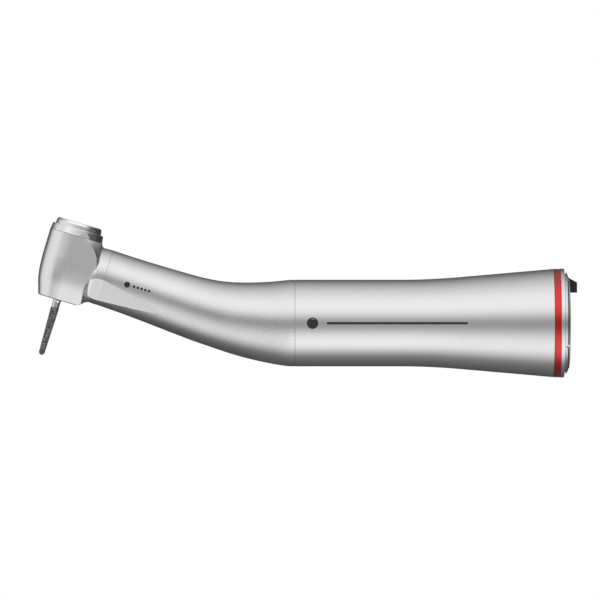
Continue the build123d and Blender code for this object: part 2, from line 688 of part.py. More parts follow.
def neck_gear():
    """Bevel gear on the neck shaft, driving the rotor. Apex at the head frame's origin."""
    root_x, root_radius = HEAD_PAIR.at(HEAD_PAIR.reach, HEAD_PAIR.driver - 1.6 * HEAD_PAIR.dedendum)
    toe_x, toe_radius = HEAD_PAIR.at(HEAD_PAIR.toe, HEAD_PAIR.driver - 1.2 * HEAD_PAIR.dedendum)
    hub = [
        (root_x + 0.25, root_radius - 0.4),
        (root_x + 0.25, 2.1),
        (NECK_FRONT_BEARING, 2.0),
        (NECK_FRONT_BEARING, GEAR_SEAT_RADIUS),
        (2.2, GEAR_SEAT_RADIUS),
        (2.2, toe_radius - 0.3),
        (toe_x, toe_radius),
    ]
    cone = toothed_cone(
        NECK_GEAR_TEETH, HEAD_PAIR.driver, HEAD_PAIR.driver - HEAD_PAIR.dedendum,
        HEAD_PAIR.driver + HEAD_PAIR.addendum, 0.8, NECK_FRONT_BEARING + 0.5,
    )
    return HEAD_PAIR.blank(HEAD_PAIR.driver, hub) & cone


def neck_pinion():
    """Pinion at the neck shaft's rear end, inside the ring gear."""
    start = PINION_HUB_START - NECK_LENGTH
    heel_x = REAR_PAIR.at(REAR_PAIR.reach, REAR_PAIR.driven)[0]
    toe_x = REAR_PAIR.at(REAR_PAIR.toe, REAR_PAIR.driven)[0]
    cone = toothed_cone(
        NECK_PINION_TEETH, REAR_PAIR.driven, REAR_PAIR.driven - REAR_PAIR.dedendum,
        REAR_PAIR.driven + REAR_PAIR.addendum, toe_x - 1, heel_x + 1, phase=pi,
    )
    pinion = REAR_PAIR.blank(REAR_PAIR.driven, [(heel_x, GEAR_SEAT_RADIUS), (toe_x, GEAR_SEAT_RADIUS)]) & cone
    pinion += tube(start, toe_x + 0.05, 0.95, GEAR_SEAT_RADIUS)
    return Pos(NECK_LENGTH, 0, 0) * pinion


def front_carrier():
    """Bush that holds the front bearing and lines the head up with the front sleeve."""
    start = NECK_FRONT_BEARING
    outside = HEAD_MODULE * NECK_GEAR_TEETH / 2 + 0.25
    bush = tube(start, start + CARRIER_LENGTH, outside, BEARING_OUTSIDE)
    return bush + tube(start + BEARING_WIDTH, start + BEARING_WIDTH + 0.4, BEARING_OUTSIDE, 2.6)


# ---------------------------------------------------------------- input drive
def ring_gear():
    """Cup with internal teeth on the front of the input shaft. Apex at the bend."""
    toe = CUP_FRONT - BEND_X
    heel = REAR_PAIR.at(REAR_PAIR.reach, REAR_PAIR.driver)[0] + 0.05
    floor = CUP_BACK - CUP_FLOOR - BEND_X
    cup = tube(toe, CUP_BACK - BEND_X, CUP_RADIUS, 1.2)
    cup -= tube(heel - 0.01, floor, CUP_RADIUS - 0.45)
    cutter = toothed_cone(
        RING_TEETH, REAR_PAIR.driver, REAR_PAIR.driver - REAR_PAIR.addendum,
        REAR_PAIR.driver + REAR_PAIR.dedendum, toe - 0.2, heel, phase=pi, share=1 + BACKLASH_SHARE,
    )
    return Pos(BEND_X, 0, 0) * (cup - cutter)


def input_shaft():
    """Shaft from the drive dog to the ring gear."""
    return turned(
        [
            (CUP_BACK - CUP_FLOOR, 0),
            (CUP_BACK - CUP_FLOOR, 1.2),
            (CUP_BACK, 1.2),
            (CUP_BACK, BEARING_BORE + 0.3),
            (INPUT_FRONT_BEARING, BEARING_BORE + 0.3),
            (INPUT_FRONT_BEARING, BEARING_BORE),
            (DOG_FRONT, BEARING_BORE),
            (DOG_FRONT, 1.2),
            (DOG_BACK - DOG_SLOT_DEPTH - 0.2, 1.2),
            (DOG_BACK - DOG_SLOT_DEPTH - 0.2, 0),
        ]
    ) - dog_pin()


def dog_pin():
    """Cross pin through the drive dog and the input shaft."""
    place = DOG_FRONT + 1.4
    return rod((place, -DOG_RADIUS + 0.1, 0), (place, DOG_RADIUS - 0.1, 0), DOG_PIN_RADIUS)


def drive_dog():
    """Claw that the motor's blade turns: two jaws beside a cross slot."""
    dog = turned([(DOG_FRONT, 1.2), (DOG_FRONT, DOG_RADIUS - 0.3), (DOG_FRONT + 0.3, DOG_RADIUS),
                  (DOG_BACK - 0.5, DOG_RADIUS), (DOG_BACK, DOG_RADIUS - 0.5), (DOG_BACK, 1.2)])
    slot = block((DOG_BACK - DOG_SLOT_DEPTH, -DOG_RADIUS - 1, -DOG_SLOT / 2),
                 (DOG_BACK + 1, DOG_RADIUS + 1, DOG_SLOT / 2))
    return dog - slot - dog_pin()


def input_housing():
    """Bearing housing of the input shaft, flanged into the rear sleeve."""
    body = turned(
        [
            (CHASSIS_BACK, 2.8),
            (CHASSIS_BACK, SLEEVE_BORE),
            (INPUT_FLANGE_BACK, SLEEVE_BORE),
            (INPUT_FLANGE_BACK, INPUT_HOUSING_RADIUS),
            (INPUT_HOUSING_BACK, INPUT_HOUSING_RADIUS),
            (INPUT_HOUSING_BACK, BEARING_OUTSIDE),
            (INPUT_FRONT_BEARING, BEARING_OUTSIDE),
            (INPUT_FRONT_BEARING, 2.8),
        ]
    )
    return body - handle_lines(CHASSIS_BACK, INPUT_FLANGE_BACK)


def handle_lines(start, end):
    """Passages for the two tubes and the light guide, parallel to the handle's axis."""
    cut = rod((start, 0, GUIDE_OFFSET), (end, 0, GUIDE_OFFSET), GUIDE_RADIUS)
    for side in (-1, 1):
        cut += rod((start, side * LINE_OFFSET, 0), (end, side * LINE_OFFSET, 0), LINE_RADIUS)
    return cut


def chassis():
    """Core that joins the sleeves, holds the neck shaft's rear bearing and clears the ring gear."""
    body = tube(CHASSIS_FRONT, SEAM_X, FRONT_BORE) + tube(SEAM_X, CHASSIS_BACK, SLEEVE_BORE)
    body -= tube(CHASSIS_CAVITY_FRONT, CHASSIS_BACK, CUP_RADIUS + 0.15)
    bearing_end = NECK_REAR_BEARING + BEARING_WIDTH
    body -= HEAD * tube(NECK_REAR_BEARING - 4, bearing_end, BEARING_OUTSIDE)
    body -= HEAD * tube(bearing_end - 1, bearing_end + 4, 2.5)
    return body - handle_lines(CHASSIS_FRONT, CHASSIS_BACK)


# ---------------------------------------------------------------- sleeves and coupling
def sleeve_line():
    """The front sleeve's outer axis: a straight run down from the stub, then an arc onto the handle's axis.
    Gives its length and a function from path length to a plane across it."""
    slope = radians(SLEEVE_ANGLE)
    start = in_head(STUB_END, 0, 0)
    corner = Vector(start.X + start.Z / tan(slope), 0, 0)
    tangent = SEAM_X - corner.X
    bend_radius = tangent / tan(slope / 2)
    straight = (corner - start).length - tangent

    def plane_at(length):
        turn = slope - max(0, length - straight) / bend_radius
        heading = Vector(cos(turn), 0, -sin(turn))
        if length < straight:
            return Plane(origin=start + heading * length, x_dir=(0, 1, 0), z_dir=heading)
        place = (SEAM_X - bend_radius * sin(turn), 0, bend_radius * (1 - cos(turn)))
        return Plane(origin=place, x_dir=(0, 1, 0), z_dir=heading)

    return straight + bend_radius * slope, plane_at


def sleeve_form(inset_front, inset_back):
    """Bent, swelling outside form of the front sleeve, or that form taken in for its cavity."""
    length, plane_at = sleeve_line()
    stations = [(-0.02, STUB_RADIUS), (0.0, STUB_RADIUS), *SLEEVE_STATIONS, (0.97, SLEEVE_RADIUS - 0.03),
                (1.0, SLEEVE_RADIUS)]
    sections = []
    for share, radius in stations:
        inset = inset_front + (inset_back - inset_front) * share
        sections.append(plane_at(share * length) * Circle(radius - inset))
    return loft(sections)


def half_space(frame, low_x, high_x):
    """Long block between two places along a frame's x."""
    return frame * block((low_x, -30, -30), (high_x, 30, 30))


def front_sleeve():
    """Shell over the bend: web with line holes at the head, bore for the chassis at the back."""
    web_end = STUB_END + 1.6
    shell = sleeve_form(0, 0) & half_space(HEAD, STUB_END, 60) & half_space(HANDLE, -100, SEAM_X)
    cavity = sleeve_form(FRONT_WALL, REAR_WALL) & half_space(HEAD, web_end, 60)
    cavity &= half_space(HANDLE, -100, CHASSIS_FRONT + 0.01)
    cavity -= HEAD * neck_facets(STUB_END, FACET_DISTANCE - FRONT_WALL, FACET_SLOPE)
    shell -= HEAD * neck_facets(STUB_END, FACET_DISTANCE, FACET_SLOPE)
    shell -= cavity
    shell -= tube(CHASSIS_FRONT, SEAM_X, FRONT_BORE)
    outside = HEAD_MODULE * NECK_GEAR_TEETH / 2 + 0.25
    shell -= HEAD * tube(STUB_END - 1, web_end + 1, outside)
    shell -= HEAD * line_holes(STUB_END - 1, web_end + 1)
    edge = turned([(SEAM_X - 2 * SEAM_CHAMFER, SLEEVE_RADIUS + SEAM_CHAMFER), (SEAM_X + 1, SLEEVE_RADIUS + 1),
                   (SEAM_X + 1, SLEEVE_RADIUS - SEAM_CHAMFER), (SEAM_X, SLEEVE_RADIUS - SEAM_CHAMFER)])
    return shell - edge


def rear_sleeve():
    """Handle shell: straight, then flaring to the coloured ring."""
    slope = tan(radians(FLARE_ANGLE))
    flare_start = RING_FRONT - (RING_RADIUS - SLEEVE_RADIUS) / slope
    blend_end = flare_start + FLARE_BLEND * cos(radians(FLARE_ANGLE))
    blend_end_radius = SLEEVE_RADIUS + FLARE_BLEND * sin(radians(FLARE_ANGLE))
    curve_radius = FLARE_BLEND / tan(radians(FLARE_ANGLE) / 2)
    middle = radians(FLARE_ANGLE) / 2
    blend_start = flare_start - FLARE_BLEND
    outline = [
        Line((SEAM_X + SEAM_CHAMFER, 0, SLEEVE_RADIUS), (blend_start, 0, SLEEVE_RADIUS)),
        ThreePointArc(
            (blend_start, 0, SLEEVE_RADIUS),
            (blend_start + curve_radius * sin(middle), 0, SLEEVE_RADIUS + curve_radius * (1 - cos(middle))),
            (blend_end, 0, blend_end_radius),
        ),
        Polyline(
            (blend_end, 0, blend_end_radius),
            (RING_FRONT - 0.08, 0, RING_RADIUS - 0.08 * slope),
            (RING_FRONT, 0, RING_RADIUS - RING_GROOVE),
            (RING_FRONT, 0, TAIL_BORE),
            (TAIL_FRONT, 0, TAIL_BORE),
            (TAIL_FRONT, 0, SLEEVE_BORE),
            (SEAM_X, 0, SLEEVE_BORE),
            (SEAM_X, 0, SLEEVE_RADIUS - SEAM_CHAMFER),
            (SEAM_X + SEAM_CHAMFER, 0, SLEEVE_RADIUS),
        ),
    ]
    return revolve(make_face(outline), Axis.X)


def edge_ring(front, back, radius):
    """Ring round the coupling body with broken outer edges."""
    return turned([(front, TAIL_BORE), (front, radius - 0.06), (front + 0.06, radius),
                   (back - 0.06, radius), (back, radius - 0.06), (back, TAIL_BORE)])


def coupling_nut():
    """Lock ring with spanner slots round the coupling's mouth."""
    groove_back = END_RING_BACK + NUT_GROOVE
    nut = turned([
        (END_RING_BACK, TAIL_BORE),
        (END_RING_BACK, NUT_GROOVE_RADIUS),
        (groove_back, NUT_GROOVE_RADIUS),
        (groove_back + 0.05, NUT_RADIUS),
        (NUT_BACK - NUT_BEVEL[0], NUT_RADIUS),
        (NUT_BACK, NUT_RADIUS - NUT_BEVEL[1]),
        (NUT_BACK, TAIL_BORE),
    ])
    for number in range(NUT_SLOTS):
        slot = block((END_RING_BACK + 0.1, -NUT_RADIUS - 1, -NUT_SLOT / 2), (1, NUT_SLOT_DEPTH - NUT_RADIUS, NUT_SLOT / 2))
        nut -= Rotation(NUT_SLOT_TURN + 360 / NUT_SLOTS * number, 0, 0) * slot
    return nut


def coupling_body():
    """Socket for the motor's nose: main bore, latch groove, nose bore, ports and the key's seat."""
    groove_front = -COUPLING_DEPTH - LATCH_WIDTH
    body = turned(
        [
            (0, COUPLING_RADIUS),
            (0, TAIL_BORE - MOUTH_CHAMFER),
            (-MOUTH_CHAMFER, TAIL_BORE),
            (TAIL_FRONT, TAIL_BORE),
            (TAIL_FRONT, SLEEVE_BORE),
            (COUPLING_FRONT, SLEEVE_BORE),
            (COUPLING_FRONT, NOSE_RADIUS),
            (groove_front, NOSE_RADIUS),
            (groove_front, LATCH_GROOVE - 0.3),
            (groove_front + 0.3, LATCH_GROOVE),
            (-COUPLING_DEPTH - 0.3, LATCH_GROOVE),
            (-COUPLING_DEPTH, COUPLING_RADIUS),
        ]
    )
    body -= block((-KEY_DEPTH, -KEY_WIDTH / 2, KEY_LOW), (1, KEY_WIDTH / 2, KEY_HIGH))
    body -= rod((COUPLING_FRONT, 0, GUIDE_OFFSET), (1, 0, GUIDE_OFFSET), GUIDE_RADIUS)
    for side in (-1, 1):
        line_end = side * LINE_OFFSET
        body -= rod((COUPLING_FRONT, line_end, 0), (PORT_X + 2 * PORT_RADIUS, line_end, 0), LINE_RADIUS)
        body -= rod((PORT_X, side * (COUPLING_RADIUS - 0.5), 0), (PORT_X, line_end, 0), PORT_RADIUS)
    return body


def index_key():
    """Moulded key that lines the light guide up with the motor's lamp."""
    side = Polyline(
        (-KEY_DEPTH, 0, KEY_LOW), (KEY_PROUD, 0, KEY_LOW), (KEY_PROUD, 0, KEY_HIGH - KEY_FALL),
        (0, 0, KEY_HIGH), (-KEY_DEPTH, 0, KEY_HIGH), close=True,
    )
    key = extrude(make_face(side), KEY_WIDTH / 2, both=True, dir=(0, 1, 0))
    return key - rod((-KEY_DEPTH - 1, 0, GUIDE_OFFSET), (KEY_PROUD + 1, 0, GUIDE_OFFSET), GUIDE_RADIUS)


# ---------------------------------------------------------------- tubes and light guide
def line_route(side):
    """Water or air tube, from the coupling past the chassis to the head."""
    return [
        Vector(COUPLING_FRONT + 2, side * LINE_OFFSET, 0),
        Vector(CHASSIS_FRONT - LINE_EASE, side * LINE_OFFSET, 0),
        in_head(STUB_END + 13.5, side * LINE_HEAD_OFFSET, 0),
        in_head(STUB_END - 2, side * LINE_HEAD_OFFSET, 0),
    ]


def guide_route():
    """Light guide, over the chassis and round the neck shaft's side to the underside of the head."""
    return [
        Vector(KEY_PROUD - 0.05, 0, GUIDE_OFFSET),
        Vector(CHASSIS_FRONT - LINE_EASE, 0, GUIDE_OFFSET),
        in_head(27.5, -3.4, 1.6),
        in_head(19.5, -3.2, -2.4),
        in_head(13.0, 0, -GUIDE_HEAD_OFFSET),
        in_head(STUB_END - 1.4, 0, -GUIDE_HEAD_OFFSET),
    ]


# ---------------------------------------------------------------- the assembly
def main():
    os.makedirs("parts", exist_ok=True)

    form = head_form()
    window = light_window(form)
    save("head_housing", head_housing(form, window), HEAD)
    save("light_window", window, HEAD)
    save("spray_plate", spray_plate(), HEAD)
    cap, web_top = head_cap()
    save("head_cap", cap, HEAD)
    button, plunger, roof = push_button(web_top)
    save("push_button", button, HEAD)
    save("button_plunger", plunger, HEAD)
    save("button_spring", button_spring(web_top, roof - 0.02), HEAD)
    upper_top = UPPER_BEARING_BOTTOM + HEAD_BEARING_WIDTH
    save("preload_washer", tube(upper_top, web_top - CAP_WEB, BEARING_OUTSIDE - 0.02, 2.8, Axis.Z), HEAD)

    bearing("rotor_lower_bearing", LOWER_BEARING_BOTTOM, HEAD_BEARING_WIDTH, HEAD, Axis.Z)
    bearing("rotor_upper_bearing", UPPER_BEARING_BOTTOM, HEAD_BEARING_WIDTH, HEAD, Axis.Z)
    save("rotor_spindle", spindle(), HEAD)
    save("chuck_collet", collet(), HEAD)
    save("chuck_wedge", wedge(), HEAD)
    save("chuck_wedge_spring", wedge_spring(), HEAD)
    save("chuck_snap_ring", wedge_ring(), HEAD)
    shank, diamond = bur()
    save("bur_shank", shank, HEAD)
    save("bur_diamond", diamond, HEAD)

    bearing("neck_front_bearing", NECK_FRONT_BEARING, BEARING_WIDTH, HEAD, Axis.X)
    bearing("neck_rear_bearing", NECK_REAR_BEARING, BEARING_WIDTH, HEAD, Axis.X)
    save("neck_shaft", neck_shaft(), HEAD)
    save("neck_gear", neck_gear(), HEAD)
    save("neck_pinion", neck_pinion(), HEAD)
    save("front_bearing_carrier", front_carrier(), HEAD)

    bearing("input_front_bearing", INPUT_FRONT_BEARING, BEARING_WIDTH, HANDLE, Axis.X)
    bearing("input_rear_bearing", INPUT_REAR_BEARING, BEARING_WIDTH, HANDLE, Axis.X)
    save("ring_gear", ring_gear())
    save("input_shaft", input_shaft())
    save("drive_dog", drive_dog())
    save("dog_pin", dog_pin())
    spacer_start = INPUT_FRONT_BEARING + BEARING_WIDTH
    save("input_bearing_spacer", tube(spacer_start, INPUT_REAR_BEARING, BEARING_BORE + 0.5, BEARING_BORE))
    save("input_bearing_nut", tube(INPUT_REAR_BEARING + BEARING_WIDTH, INPUT_HOUSING_BACK, BEARING_OUTSIDE, 2.2))
    save("input_housing", input_housing())
    save("chassis", chassis())

    save("front_sleeve", front_sleeve())
    save("rear_sleeve", rear_sleeve())
    save("ratio_ring", edge_ring(RING_FRONT, RING_BACK, RING_RADIUS))
    save("end_ring", edge_ring(RING_BACK, END_RING_BACK, END_RING_RADIUS))
    save("coupling_nut", coupling_nut())
    save("coupling_body", coupling_body())
    save("index_key", index_key())

    for name, side in (("water_tube", 1), ("air_tube", -1)):
        route = line_route(side)
        radii = arc_radii(route)
        outside = bent_rod(route, radii, LINE_RADIUS)
        save(name, outside - bent_rod(route, radii, LINE_BORE))
    route = guide_route()
    save("light_guide", bent_rod(route, arc_radii(route), GUIDE_RADIUS) - HEAD * window)


main()
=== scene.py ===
"""Looks of the dental contra-angle handpiece: finishes, marks, painted seam shade, grit, light and camera.

Metres, in the CAD frame."""

import json
import math
import random

import bmesh
import bpy
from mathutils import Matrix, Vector
from mathutils.bvhtree import BVHTree


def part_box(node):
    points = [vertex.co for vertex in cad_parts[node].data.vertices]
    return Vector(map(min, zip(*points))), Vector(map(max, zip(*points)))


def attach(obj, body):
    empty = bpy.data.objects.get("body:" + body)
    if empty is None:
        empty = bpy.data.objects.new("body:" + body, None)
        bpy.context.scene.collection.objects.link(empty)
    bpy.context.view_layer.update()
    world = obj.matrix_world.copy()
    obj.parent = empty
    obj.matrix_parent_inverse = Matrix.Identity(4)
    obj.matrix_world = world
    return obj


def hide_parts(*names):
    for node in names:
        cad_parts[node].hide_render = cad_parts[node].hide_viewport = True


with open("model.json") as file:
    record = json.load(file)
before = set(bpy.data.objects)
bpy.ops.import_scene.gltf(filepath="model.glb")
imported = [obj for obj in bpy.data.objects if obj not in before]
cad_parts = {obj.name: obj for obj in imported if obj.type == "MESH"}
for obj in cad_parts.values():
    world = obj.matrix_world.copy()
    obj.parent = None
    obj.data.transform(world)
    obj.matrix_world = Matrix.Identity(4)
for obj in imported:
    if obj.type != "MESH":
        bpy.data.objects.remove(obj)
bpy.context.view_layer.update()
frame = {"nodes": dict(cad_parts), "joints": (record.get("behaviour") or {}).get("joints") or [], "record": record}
nodes = frame["nodes"]
record = frame["record"]
MM = 0.001

joints = {joint["name"]: joint for joint in frame["joints"]}
HEAD_POINT = Vector(joints["rotor_spin"]["pos_m"])     # where the bur's axis crosses the neck shaft's
UP = Vector(joints["rotor_spin"]["axis"])              # up the bur's axis
BACK = Vector(joints["neck_spin"]["axis"])             # back along the neck


def in_head(x, y, z):
    """A point of the head's own frame, in millimetres, as a place in the handpiece's frame."""
    return HEAD_POINT + (BACK * x + Vector((0, 1, 0)) * y + UP * z) * MM


# ---------------------------------------------------------------- camera
CAMERA_PLACE = (-49.65, -1200.0, 4.26)   # millimetres
camera_data = bpy.data.cameras.new("camera")
camera_data.sensor_width = 36
camera_data.lens = 390.0
camera = bpy.data.objects.new("camera", camera_data)
camera.location = Vector(CAMERA_PLACE) * MM
camera.rotation_euler = (math.radians(90), 0, 0)
camera_data.clip_start, camera_data.clip_end = 0.01, 50
bpy.context.scene.collection.objects.link(camera)
bpy.context.scene.camera = camera
bpy.context.scene.view_settings.view_transform = "Standard"
bpy.context.scene.view_settings.look = "None"


# ---------------------------------------------------------------- node helpers
class Tree:
    """Short names for making shader nodes."""

    def __init__(self, tree):
        self.tree = tree
        tree.nodes.clear()

    def add(self, kind, inputs=(), **settings):
        node = self.tree.nodes.new("ShaderNode" + kind)
        for name, value in settings.items():
            setattr(node, name, value)
        for name, value in dict(inputs).items():
            socket = node.inputs[name]
            if isinstance(value, bpy.types.NodeSocket):
                self.tree.links.new(value, socket)
            else:
                socket.default_value = value
        return node

    def math(self, operation, a, b=0.0, clamp=False):
        node = self.add("Math", operation=operation, use_clamp=clamp)
        for socket, value in zip(node.inputs, (a, b)):
            if isinstance(value, bpy.types.NodeSocket):
                self.tree.links.new(value, socket)
            else:
                socket.default_value = value
        return node.outputs[0]

    def ramp(self, value, stops, interpolation="LINEAR"):
        node = self.add("ValToRGB", {"Fac": value})
        node.color_ramp.interpolation = interpolation
        elements = node.color_ramp.elements
        while len(elements) < len(stops):
            elements.new(0.5)
        for element, (place, shade) in zip(elements, stops):
            element.position = place
            colour = shade if isinstance(shade, tuple) else (shade, shade, shade)
            element.color = (*colour, 1)
        return node.outputs["Color"]

    def range(self, value, low, high, to_low, to_high):
        node = self.add("MapRange", {"Value": value, "From Min": low, "From Max": high,
                                     "To Min": to_low, "To Max": to_high})
        return node.outputs["Result"]

    def soft(self, value, low, high, to_low, to_high):
        result = self.range(value, low, high, to_low, to_high)
        result.node.interpolation_type = "SMOOTHSTEP"
        return result


# ---------------------------------------------------------------- studio light
LIGHT_BY_ANGLE = (      # round the handle: 0 is the camera's side, 90 straight up
    (-180, 0.04), (-150, 0.08), (-122, 0.13), (-97, 0.22), (-77, 0.70), (-62, 1.09), (-44, 1.07),
    (-30, 0.88), (-17, 0.52), (-7, 0.32), (0, 0.28), (8, 0.40), (16, 0.66), (29, 0.98), (44, 1.07),
    (60, 1.03), (77, 0.9), (97, 0.70), (122, 0.42), (150, 0.12), (180, 0.04),
)
LEFT_BOX = 0.72
RIGHT_BOX = 0.03
NECK_SHADE = 0.24       # how much less light comes from low on the left, where the neck's flats look
END_FADE = (0.55, 0.95, 0.05)   # where along X the boxes start and stop fading, and what is left


def studio():
    world = bpy.data.worlds.new("studio")
    bpy.context.scene.world = world
    world.use_nodes = True
    t = Tree(world.node_tree)
    direction = t.add("SeparateXYZ", {"Vector": t.add("TexCoord").outputs["Generated"]}).outputs
    toward = t.math("MULTIPLY", direction["Y"], -1.0)
    angle = t.math("ARCTAN2", direction["Z"], toward)
    round_handle = t.math("ADD", t.math("DIVIDE", angle, 2 * math.pi), 0.5)
    stops = [(degrees / 360 + 0.5, shade) for degrees, shade in LIGHT_BY_ANGLE]
    boxes = t.ramp(round_handle, stops)
    boxes = t.add("SeparateColor", {"Color": boxes}).outputs["Red"]
    off_side = t.math("ABSOLUTE", direction["X"])
    fade = t.soft(off_side, END_FADE[0], END_FADE[1], 1.0, END_FADE[2])
    left = t.soft(direction["X"], -0.67, -0.94, 0.0, LEFT_BOX)
    right = t.soft(direction["X"], 0.8, 0.97, 0.0, RIGHT_BOX)
    low = t.soft(direction["Z"], -0.1, -0.4, 0.0, NECK_SHADE)
    low_left = t.math("MULTIPLY", low, t.soft(direction["X"], -0.10, -0.28, 0.0, 1.0))
    boxes = t.math("MULTIPLY", boxes, t.math("SUBTRACT", 1.0, low_left))
    strength = t.math("ADD", t.math("ADD", t.math("MULTIPLY", boxes, fade), left), right)
    lit = t.add("Background", {"Strength": strength})
    lit.inputs["Color"].default_value = (1, 1, 1, 1)
    white = t.add("Background", {"Strength": 1.0})
    white.inputs["Color"].default_value = (1, 1, 1, 1)
    mix = t.add("MixShader", {"Fac": t.add("LightPath").outputs["Is Camera Ray"]})
    t.tree.links.new(lit.outputs[0], mix.inputs[1])
    t.tree.links.new(white.outputs[0], mix.inputs[2])
    t.tree.links.new(mix.outputs[0], t.add("OutputWorld").inputs["Surface"])


studio()


# ---------------------------------------------------------------- finishes
DULL_EDGE = 0.4         # millimetres over which the polish ends


def finish(name, colour, roughness, metallic=1.0, grain=0.3, bump=0.0, spread=0.0, tint=0.0, coat=0.0,
           dull=None):
    """Material with a procedural grain.

    grain is the grain's size in millimetres, bump its depth in micrometres, spread the change of
    roughness with it and tint the change of colour. dull is where along the neck, in millimetres, the
    polish ends, and the share of its brightness left behind that.
    """
    material = bpy.data.materials.new(name)
    material.use_nodes = True
    t = Tree(material.node_tree)
    place = t.add("TexCoord").outputs["Object"]
    size = 1.0 / (grain * MM)
    fine = t.add("TexNoise", {"Vector": place, "Scale": size, "Detail": 3.0, "Roughness": 0.65})
    fine = fine.outputs["Fac"]
    broad = t.add("TexNoise", {"Vector": place, "Scale": size / 40, "Detail": 2.0}).outputs["Fac"]
    both = t.math("ADD", t.math("MULTIPLY", fine, 0.7), t.math("MULTIPLY", broad, 0.3))
    shader = t.add("BsdfPrincipled", {"Metallic": metallic})
    if coat:
        shader.inputs["Coat Weight"].default_value = coat
        shader.inputs["Coat Roughness"].default_value = 0.08
    rough = t.range(both, 0.3, 0.7, max(0.02, roughness - spread), min(1, roughness + spread))
    t.tree.links.new(rough, shader.inputs["Roughness"])
    dark = tuple(max(0, c - tint) for c in colour)
    light = tuple(min(1, c + tint) for c in colour)
    shade = t.ramp(both, [(0.3, dark), (0.7, light)])
    if dull:
        start, share = dull
        along = t.add("VectorMath", {0: place, 1: tuple(BACK)}, operation="DOT_PRODUCT")
        along = t.math("SUBTRACT", along.outputs["Value"], HEAD_POINT.dot(BACK))
        left_over = t.soft(along, start * MM, (start + DULL_EDGE) * MM, 1.0, share)
        shade = t.add("VectorMath", {0: shade, "Scale": left_over}, operation="SCALE").outputs["Vector"]
    t.tree.links.new(shade, shader.inputs["Base Color"])
    if bump:
        bumps = t.add("Bump", {"Height": fine, "Distance": bump * 1e-6, "Strength": 1.0})
        t.tree.links.new(bumps.outputs["Normal"], shader.inputs["Normal"])
    t.tree.links.new(shader.outputs[0], t.add("OutputMaterial").inputs["Surface"])
    return material


def grit(name):
    """Electroplated diamond: dark nickel with pale sharp grains."""
    material = bpy.data.materials.new(name)
    material.use_nodes = True
    t = Tree(material.node_tree)
    place = t.add("TexCoord").outputs["Object"]
    cells = t.add("TexVoronoi", {"Vector": place, "Scale": 1 / (0.16 * MM)}, feature="F1")
    fine = t.add("TexNoise", {"Vector": place, "Scale": 1 / (0.07 * MM), "Detail": 3.0}).outputs["Fac"]
    spot = t.add("SeparateColor", {"Color": cells.outputs["Color"]}).outputs["Red"]
    shade = t.ramp(spot, [(0.0, (0.06, 0.06, 0.06)), (0.45, (0.17, 0.165, 0.16)),
                          (0.8, (0.33, 0.32, 0.31)), (1.0, (0.62, 0.61, 0.6))])
    shader = t.add("BsdfPrincipled", {"Base Color": shade, "Metallic": 0.55,
                                      "Roughness": t.range(fine, 0.3, 0.7, 0.28, 0.6)})
    pits = t.math("MULTIPLY", cells.outputs["Distance"], -0.6)
    height = t.math("ADD", pits, t.math("MULTIPLY", fine, 0.5))
    bumps = t.add("Bump", {"Height": height, "Distance": 60e-6, "Strength": 1.0})
    t.tree.links.new(bumps.outputs["Normal"], shader.inputs["Normal"])
    t.tree.links.new(shader.outputs[0], t.add("OutputMaterial").inputs["Surface"])
    return material


def glass(name):
    """Fused-fibre glass of the light guide."""
    material = bpy.data.materials.new(name)
    material.use_nodes = True
    t = Tree(material.node_tree)
    place = t.add("TexCoord").outputs["Object"]
    fibre = t.add("TexVoronoi", {"Vector": place, "Scale": 1 / (0.06 * MM)}, feature="F1")
    fibre = fibre.outputs["Distance"]
    shade = t.ramp(fibre, [(0.0, (0.93, 0.95, 0.93)), (0.6, (0.72, 0.78, 0.76))])
    shader = t.add("BsdfPrincipled", {"Base Color": shade, "Transmission Weight": 0.85, "IOR": 1.55,
                                      "Roughness": t.range(fibre, 0, 0.6, 0.03, 0.12)})
    t.tree.links.new(shader.outputs[0], t.add("OutputMaterial").inputs["Surface"])
    return material


METALS = {      # colour, roughness, grain in millimetres, bump in micrometres, spread, tint
    "polished_steel": ((0.96, 0.96, 0.96), 0.28, 0.35, 0.5, 0.02, 0.012),
    "blasted_steel": ((0.79, 0.79, 0.79), 0.26, 0.18, 20, 0.05, 0.06),
    "satin_steel": ((0.80, 0.80, 0.80), 0.26, 0.10, 0.7, 0.02, 0.010),
    "red_anodised": ((0.72, 0.02, 0.022), 0.28, 0.10, 0.8, 0.03, 0.02),
    "bright_steel": ((0.80, 0.80, 0.81), 0.22, 0.10, 0.8, 0.05, 0.02),
    "bearing_steel": ((0.74, 0.75, 0.77), 0.14, 0.10, 0.4, 0.03, 0.02),
    "gear_steel": ((0.46, 0.46, 0.48), 0.30, 0.08, 1.2, 0.05, 0.04),
    "spring_steel": ((0.62, 0.62, 0.64), 0.25, 0.08, 0.8, 0.05, 0.03),
    "brass_housing": ((0.78, 0.58, 0.26), 0.27, 0.10, 1.0, 0.05, 0.03),
    "aluminium_core": ((0.76, 0.77, 0.79), 0.33, 0.12, 1.5, 0.05, 0.03),
    "tube_steel": ((0.70, 0.70, 0.72), 0.25, 0.10, 0.8, 0.05, 0.02),
    "bur_steel": ((0.80, 0.80, 0.80), 0.16, 0.06, 0.6, 0.04, 0.02),
}
PLAIN = {       # the same for what isn't metal
    "cage_resin": ((0.36, 0.17, 0.06), 0.45, 0.12, 3, 0.06, 0.03),
    "black_plastic": ((0.012, 0.012, 0.013), 0.38, 0.14, 6, 0.07, 0.004),
    "mark_ink": ((0.022, 0.022, 0.024), 0.5, 0.08, 2, 0.08, 0.008),
    # painted shade: the black of the rings laid in the seam grooves
    "seal_rubber": ((0.012, 0.012, 0.012), 0.6, 0.1, 2, 0.08, 0.004),
}
EXTRAS = {"polished_steel": {"dull": (5.2, 0.84)}, "red_anodised": {"coat": 0.9}}

